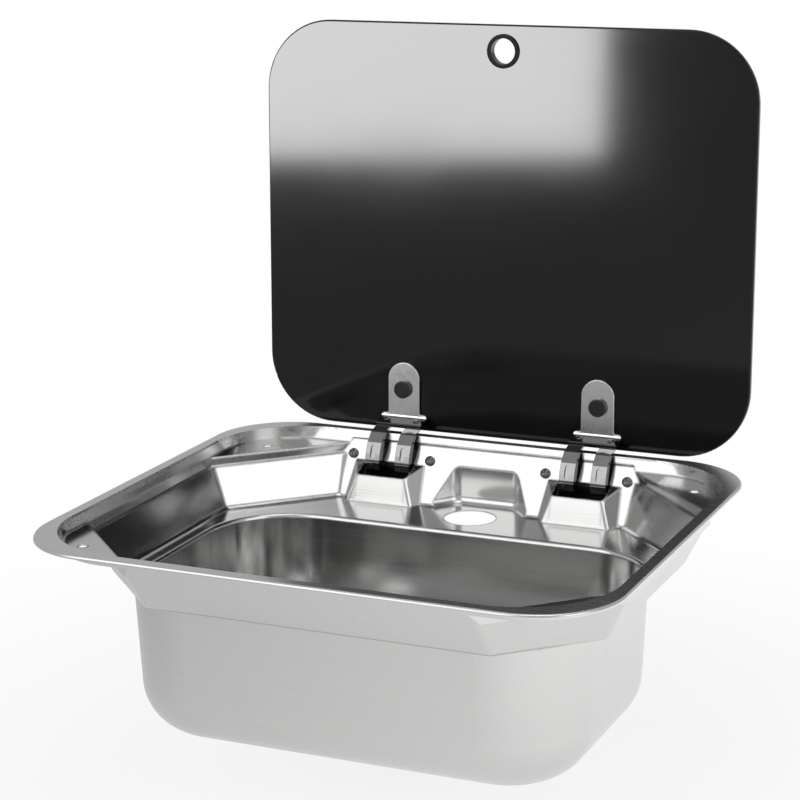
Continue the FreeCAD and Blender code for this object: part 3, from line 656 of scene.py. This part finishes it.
def sweep_section(tree: Tree, path: object, width: object, height: object, edge: object) -> object:
    """Add a round-cornered section swept along a level path.

    Args:
        tree: The geometry tree.
        path: The curve's socket.
        width: Size of the section across the path, level.
        height: Size of the section upright.
        edge: Radius of its corners.

    Returns:
        The swept mesh's socket.
    """
    section = tree.add("GeometryNodeCurvePrimitiveQuadrilateral", {"Width": width, "Height": height},
                       mode="RECTANGLE")
    soft = tree.add("GeometryNodeFilletCurve", {"Curve": section.outputs[0], "Count": 4, "Radius": edge},
                    mode="POLY")
    level = tree.add("GeometryNodeSetCurveNormal", {"Curve": path}, mode="Z_UP")
    swept = tree.add("GeometryNodeCurveToMesh",
                     {"Curve": level.outputs[0], "Profile Curve": soft.outputs[0]})
    return swept.outputs[0]


def finish_tree(tree: Tree, result: bpy.types.Node, material: object, geometry: object) -> None:
    """End a geometry tree with real instances and a set material."""
    real = tree.add("GeometryNodeRealizeInstances", {0: geometry})
    dressed = tree.add("GeometryNodeSetMaterial", {"Geometry": real.outputs[0], "Material": material})
    tree.feed(result.inputs["Geometry"], dressed.outputs[0])


# ---- finishes ----

RIM_STEEL = SteelFinish("rolled_steel", base=(0.60, 0.60, 0.595), roughness=0.15, spread=0.05,
                        grain=Grain.ACROSS, wave_depth=0.10 * MM, soft_edge=2.5 * MM, stains=0.3)
FLANGE_STEEL = SteelFinish("rim_steel", base=(0.64, 0.64, 0.635), roughness=0.27, spread=0.06,
                           grain=Grain.ACROSS, wave_depth=0.05 * MM, stains=0.2)
OUTER_STEEL = SteelFinish("drawn_steel_outside", base=(0.60, 0.60, 0.595), roughness=0.27, spread=0.08,
                          grain=Grain.LEVEL, wave_depth=0.30 * MM, stains=0.7)
BRIGHT_STEEL = SteelFinish("bright_steel", base=(0.66, 0.66, 0.655), roughness=0.10, spread=0.04,
                           grain=Grain.FINE, grain_depth=0.004 * MM)
# Hinge arms: steel base darkened well below plain steel, which is painted shade and painted dark
# reflection.
ARM_STEEL_PAINTED_SHADE = SteelFinish("arm_steel", base=(0.30, 0.30, 0.30), roughness=0.10, spread=0.05,
                        grain=Grain.FINE, grain_depth=0.004 * MM)
SCREW_STEEL = SteelFinish("screw_steel", base=(0.15, 0.15, 0.15), roughness=0.30, spread=0.08,
                          grain=Grain.FINE, grain_depth=0.006 * MM)
# The bracket plate and its flange are one steel sheet: the plate's pale base is painted light, the flange's
# near-black base a painted dark reflection.
PLATE_STEEL_PAINTED_LIGHT = SteelFinish("plate_steel", base=(0.88, 0.88, 0.875), roughness=0.16, spread=0.05,
                          grain=Grain.FINE, grain_depth=0.004 * MM, soft_edge=0.9 * MM)
FLANGE_PAINTED_DARK_REFLECTION = SteelFinish("neck_steel", base=(0.07, 0.07, 0.07), roughness=0.16, spread=0.05,
                         grain=Grain.FINE, grain_depth=0.004 * MM)
DARK_STEEL = SteelFinish("blackened_steel", base=(0.035, 0.034, 0.036), roughness=0.24, spread=0.06,
                         grain=Grain.FINE, grain_depth=0.004 * MM)
BLACK_COAT = SoftFinish("black_coat", (0.02, 0.02, 0.021), 0.38)
CAP_PLASTIC = SoftFinish("cap_plastic", (0.012, 0.012, 0.013), 0.34)
GREY_PLASTIC = SoftFinish("grey_plastic", (0.18, 0.18, 0.185), 0.48)
SOFT_RUBBER = SoftFinish("soft_rubber", (0.018, 0.018, 0.018), 0.72, texture=1400.0)
BLACK_GLASS = GlassFinish("black_glass", specular=0.25)


@dataclass
class Palette:
    """Makes each finish once and hands out its material."""

    groups: Groups = field(default_factory=Groups)
    made: dict[str, bpy.types.Material] = field(default_factory=dict)

    def material(self, finish: Finish) -> bpy.types.Material:
        """Return the material of a finish."""
        if finish.name not in self.made:
            self.made[finish.name] = finish.build(self.groups)
        return self.made[finish.name]


# ---- sub-assemblies ----

@dataclass
class Assembly:
    """Pieces that are made and dressed together.

    Attributes:
        palette: Source of the materials.
        names: Names of the pieces that are done.
    """

    palette: Palette
    names: list[str] = field(default_factory=list)

    def dress(self, finish: Finish, *nodes: str) -> None:
        """Give carried-over nodes a finish.

        Args:
            finish: The finish.
            *nodes: Names of the nodes.
        """
        material = self.palette.material(finish)
        for node in nodes:
            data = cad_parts[node].data
            for index in range(len(data.materials)):
                data.materials[index] = material
            self.names.append(node)
            LOG.info("dressed %s with %s", node, material.name)

    def place(self, piece: bpy.types.Object, body: str, slot: str, *nodes: str) -> None:
        """Let a finished piece ride on a body in place of its nodes.

        Args:
            piece: The finished piece.
            body: The body that carries it.
            slot: Not used.
            *nodes: The nodes that it replaces.
        """
        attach(piece, body)
        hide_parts(*nodes)
        self.names.append(piece.name)
        LOG.info("built %s with %d faces for %s", piece.name, len(piece.data.polygons), ", ".join(nodes))


@dataclass
class PressedSink(Assembly):
    """The pressing with its rim and the soft strip under it.

    Attributes:
        ray_gap: How far above the sheet a look at the sky starts.
    """

    ray_gap: float = 0.06 * MM

    def build(self) -> None:
        """Make the joined skin of the sheet and the strip."""
        skin = skin_of("sink_bowl", "sink_skin")
        self.dress_sides(skin)
        self.place(skin, "sink", "satin_steel", "sink_bowl")
        sizes = {title: value * MM for title, value in STRIP_SIZES.items()}
        rubber = self.palette.material(SOFT_RUBBER)
        strip = grown_piece("rim_strip", strip_tree("soft_strip"), sizes | {"Material": rubber})
        self.place(strip, "sink", "black_rubber", "rim_seal")

    def dress_sides(self, skin: bpy.types.Object) -> None:
        """Give the rim's top, the rest of the open side and the hidden side their own finish.

        Args:
            skin: The joined pressing.
        """
        mesh = skin.data
        for finish in (RIM_STEEL, OUTER_STEEL, FLANGE_STEEL):
            mesh.materials.append(self.palette.material(finish))
        tree = BVHTree.FromPolygons([v.co for v in mesh.vertices], [p.vertices for p in mesh.polygons])
        sky = Vector((0.0, 0.0, 1.0))
        for polygon in mesh.polygons:
            start = polygon.center + polygon.normal * self.ray_gap
            if tree.ray_cast(start, sky)[0] is not None:
                polygon.material_index = 1
            else:
                polygon.material_index = 2 if polygon.center.z > 0.0 else 0


@dataclass
class Hinge(Assembly):
    """One goose-neck hinge, from its housing behind the wall to the plate on the glass."""

    hand: Hand = Hand.LEFT

    def build(self) -> None:
        """Dress the steel parts and grow the screws and rivets."""
        side = self.hand.name.lower()
        self.dress(BLACK_COAT, f"hinge_housing_{side}", f"hinge_spacer_{side}", f"friction_washers_{side}")
        self.dress(BRIGHT_STEEL, f"pin_clip_{side}")
        self.plate(f"glass_plate_{side}", f"lid_bracket_{side}")
        self.dress(SCREW_STEEL, f"hinge_nuts_{side}", f"hinge_pin_{side}")
        # The arms get steel with painted shade in its darkened base.
        self.dress(ARM_STEEL_PAINTED_SHADE, f"hinge_arm_{side}_outer", f"hinge_arm_{side}_inner")
        steel = {"Material": self.palette.material(SCREW_STEEL)}
        screws = grown_piece(f"wall_screws_{side}", fastener_tree(f"cross_screw_{side}", Drive.CROSS),
                             WALL_SCREW.inputs() | steel, self.screw_seats())
        self.place(screws, "sink", "bright_steel", f"hinge_screws_{side}")
        rivets = grown_piece(f"arm_rivets_{side}", fastener_tree(f"rivet_{side}", Drive.PLAIN),
                             FLANGE_RIVET.inputs() | steel, self.rivet_seats())
        self.place(rivets, "lid", "bright_steel", f"bracket_rivets_{side}")

    def plate(self, name: str, node: str) -> None:
        """Make the joined skin of a bracket, with painted light on the plate and a painted dark reflection
        on its bent flange.

        Args:
            name: Name of the new piece.
            node: The bracket's node.
        """
        skin = skin_of(node, name)
        skin.data.materials.append(self.palette.material(PLATE_STEEL_PAINTED_LIGHT))
        skin.data.materials.append(self.palette.material(FLANGE_PAINTED_DARK_REFLECTION))
        bend, out = lid_point(0.0, 0.0, PLATE_FRONT), lid_direction(0.0, 0.0, 1.0)
        # Faces out beyond the bend get the painted dark reflection, the rest get the plate's painted light.
        for polygon in skin.data.polygons:
            polygon.material_index = 1 if (polygon.center - bend).dot(out) > 0.0 else 0
        self.place(skin, "lid", "bright_steel", node)

    def screw_seats(self) -> list[tuple[Vector, Vector]]:
        """Return the places and axes of the two screws on the back wall."""
        low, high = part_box(f"hinge_screws_{self.hand.name.lower()}")
        axis = Vector((0.0, -1.0, WALL_SLOPE)).normalized()
        seat_y = WALL_FOOT_Y + WALL_SLOPE * (SHELF_DEPTH - SCREW_DEPTH)
        seat = Vector((0.0, seat_y, RIM_TOP - SCREW_DEPTH)) * MM
        reach = WALL_SCREW.head_radius * MM
        return [(Vector((x, seat.y, seat.z)), axis) for x in (low.x + reach, high.x - reach)]

    def rivet_seats(self) -> list[tuple[Vector, Vector]]:
        """Return the places and axes of the two rivets on the bracket flange."""
        axis = lid_direction(0.0, 1.0, FLANGE_SLOPE).normalized()
        centre = self.hand.value * HINGE_X
        return [(lid_point(centre + offset, RIVET_UP, RIVET_OUT), axis)
                for offset in (-RIVET_OFFSET, RIVET_OFFSET)]


@dataclass
class GlassLid(Assembly):
    """The black glass with its finger ring and the bolts of the brackets."""

    def build(self) -> None:
        """Make the glass and dress what is bolted to it."""
        glass = skin_of("glass_lid", "lid_glass")
        glass.data.materials.append(self.palette.material(BLACK_GLASS))
        self.place(glass, "lid", "black_glass", "glass_lid")
        self.dress(DARK_STEEL, "finger_ring_front", "finger_ring_back")
        self.dress(BRIGHT_STEEL, "lid_bolts", "lid_nuts")
        self.dress(CAP_PLASTIC, "bolt_caps")
        self.dress(SOFT_RUBBER, "bracket_pads", "rear_washers")


@dataclass
class Waste(Assembly):
    """The waste fitting under the bowl and the plug in it."""

    def build(self) -> None:
        """Dress the fitting."""
        self.dress(BRIGHT_STEEL, "waste_flange", "strainer", "plug_knob")
        self.dress(SOFT_RUBBER, "waste_gasket", "waste_plug")
        self.dress(GREY_PLASTIC, "waste_nut", "waste_outlet", "hose_tail")


# ---- studio ----

@dataclass(frozen=True)
class Viewpoint:
    """Where the photograph was taken from, in degrees and metres, with a lens in millimetres."""

    azimuth: float = 23.961
    elevation: float = 14.192
    roll: float = -0.693
    distance: float = 1.653922
    shift_right: float = 0.000969
    shift_up: float = 0.073573
    lens: float = 106.18

    def set_camera(self) -> None:
        """Make the scene's camera."""
        a, e, r = (math.radians(v) for v in (self.azimuth, self.elevation, self.roll))
        back = Vector((math.sin(a) * math.cos(e), -math.cos(a) * math.cos(e), math.sin(e)))
        level = (-back).cross(Vector((0.0, 0.0, 1.0))).normalized()
        upright = level.cross(-back)
        right = math.cos(r) * level + math.sin(r) * upright
        up = math.cos(r) * upright - math.sin(r) * level
        data = bpy.data.cameras.new("photo_camera")
        data.sensor_width = 36.0
        data.lens = self.lens
        camera = bpy.data.objects.new("photo_camera", data)
        place = back * self.distance + right * self.shift_right + up * self.shift_up
        place += Vector((0.0, 0.0, RIM_TOP * MM))
        camera.matrix_world = Matrix.Translation(place) @ Matrix((right, up, back)).transposed().to_4x4()
        bpy.context.scene.collection.objects.link(camera)
        bpy.context.scene.camera = camera


@dataclass(frozen=True)
class SoftLamp:
    """A flat studio lamp that faces the sink.

    Attributes:
        name: Name of the lamp.
        place: Its centre.
        aim: The point that it faces.
        width: Its level side.
        height: Its other side.
        power: Its power in watts.
        only: Pieces that it lights, or none for all.
    """

    name: str
    place: tuple[float, float, float]
    aim: tuple[float, float, float]
    width: float
    height: float
    power: float
    only: tuple[str, ...] = ()

    def build(self) -> None:
        """Make the lamp."""
        data = bpy.data.lights.new(self.name, "AREA")
        data.shape = "RECTANGLE"
        data.size = self.width
        data.size_y = self.height
        data.energy = self.power
        lamp = bpy.data.objects.new(self.name, data)
        lamp.location = self.place
        lamp.rotation_euler = (Vector(self.place) - Vector(self.aim)).to_track_quat("Z", "Y").to_euler()
        bpy.context.scene.collection.objects.link(lamp)
        if self.only:
            lit = bpy.data.collections.new(f"{self.name}_lights")
            for name in self.only:
                lit.objects.link(bpy.data.objects[name])
            lamp.light_linking.receiver_collection = lit


@dataclass
class Studio:
    """Floor, surroundings, lamps and camera.

    Attributes:
        floor_level: Height of the floor.
        floor_radius: Where the floor ends, far behind the sink.
        floor_tone: Grey of the floor's cloth.
        room_tone: Grey of the room.
        room_light: Strength of the room's light.
    """

    floor_level: float
    floor_radius: float = 30.0
    floor_tone: float = 0.8
    room_tone: float = 0.9
    room_light: float = 0.62

    def build(self) -> None:
        """Set up everything round the sink."""
        Viewpoint().set_camera()
        bpy.context.scene.view_settings.view_transform = "Standard"
        self.floor()
        self.surroundings()
        for lamp in LAMPS:
            lamp.build()

    def floor(self) -> None:
        """Lay a pale floor that turns into the white background far away."""
        work = bmesh.new()
        bmesh.ops.create_circle(work, cap_ends=True, radius=self.floor_radius, segments=96)
        mesh = bpy.data.meshes.new("floor")
        work.to_mesh(mesh)
        work.free()
        piece = bpy.data.objects.new("floor", mesh)
        piece.location = (0.0, 0.0, self.floor_level)
        bpy.context.scene.collection.objects.link(piece)
        mesh.materials.append(self.floor_material())

    def floor_material(self) -> bpy.types.Material:
        """Make the floor's material.

        Returns:
            A pale cloth near the sink, for its shadow, that glows white further out.
        """
        material = bpy.data.materials.new("pale_floor")
        material.use_nodes = True
        tree = Tree(material.node_tree)
        cloth = tree.add("ShaderNodeBsdfDiffuse", {"Color": grey(self.floor_tone)})
        place = tree.add("ShaderNodeTexCoord").outputs["Object"]
        reach = tree.add("ShaderNodeVectorMath", {0: place}, operation="LENGTH").outputs["Value"]
        ray = tree.add("ShaderNodeLightPath").outputs
        aside = tree.add("ShaderNodeSeparateXYZ", {0: place}).outputs["X"]
        mirrored = tree.ramp(aside, -0.7, 0.6, 0.62, 1.3)
        strength = tree.add("ShaderNodeMix", {0: ray["Is Glossy Ray"], 2: 1.0, 3: mirrored}).outputs[0]
        glow = tree.add("ShaderNodeEmission", {"Color": grey(1.0), "Strength": strength})
        traced = tree.math("MAXIMUM", ray["Is Glossy Ray"], ray["Is Transmission Ray"])
        seen = tree.math("MAXIMUM", ray["Is Camera Ray"], traced)
        share = tree.math("MULTIPLY", seen, tree.ramp(reach, 0.2, 0.7, 0.84, 1.0))
        mixed = tree.add("ShaderNodeMixShader", {0: share, 1: cloth.outputs[0], 2: glow.outputs[0]})
        tree.add("ShaderNodeOutputMaterial", {"Surface": mixed.outputs[0]})
        return material

    def surroundings(self) -> None:
        """Light the room evenly, and show white behind the sink."""
        world = bpy.data.worlds.new("studio")
        bpy.context.scene.world = world
        world.use_nodes = True
        tree = Tree(world.node_tree)
        ray = tree.add("ShaderNodeLightPath").outputs
        seen = tree.math("MAXIMUM", ray["Is Camera Ray"], ray["Is Transmission Ray"])
        plain = tree.add("ShaderNodeBackground",
                         {"Color": grey(self.room_tone), "Strength": self.room_light})
        white = tree.add("ShaderNodeBackground", {"Color": grey(1.0), "Strength": 1.0})
        mixed = tree.add("ShaderNodeMixShader", {0: seen, 1: plain.outputs[0], 2: white.outputs[0]})
        tree.add("ShaderNodeOutputWorld", {"Surface": mixed.outputs[0]})


LAMPS = (
    SoftLamp("key_lamp", (-1.1, -1.85, 1.4), (0.0, 0.05, 0.0), 1.9, 2.3, 18.0),
    SoftLamp("right_lamp", (1.9, -0.75, 1.1), (0.0, 0.0, 0.0), 1.3, 1.3, 7.5),
    SoftLamp("top_lamp", (0.2, -0.1, 2.6), (0.0, 0.0, 0.0), 1.4, 1.4, 9.0),
    SoftLamp("glass_lamp", (-1.72, -2.66, 0.20), (0.0, 0.19, 0.20), 1.6, 0.60, 94.0, ("lid_glass",)),
)


def main() -> None:
    """Build every sub-assembly in order and report its pieces."""
    logging.basicConfig(level=logging.INFO, format="%(name)s: %(message)s")
    palette = Palette()
    assemblies = [PressedSink(palette), Hinge(palette, hand=Hand.LEFT), Hinge(palette, hand=Hand.RIGHT),
                  GlassLid(palette), Waste(palette)]
    for assembly in assemblies:
        assembly.build()
        LOG.info("%s: %d pieces", type(assembly).__name__, len(assembly.names))
    Studio(floor_level=CAD_BOX[0].z).build()


if __name__ == "__main__":
    main()
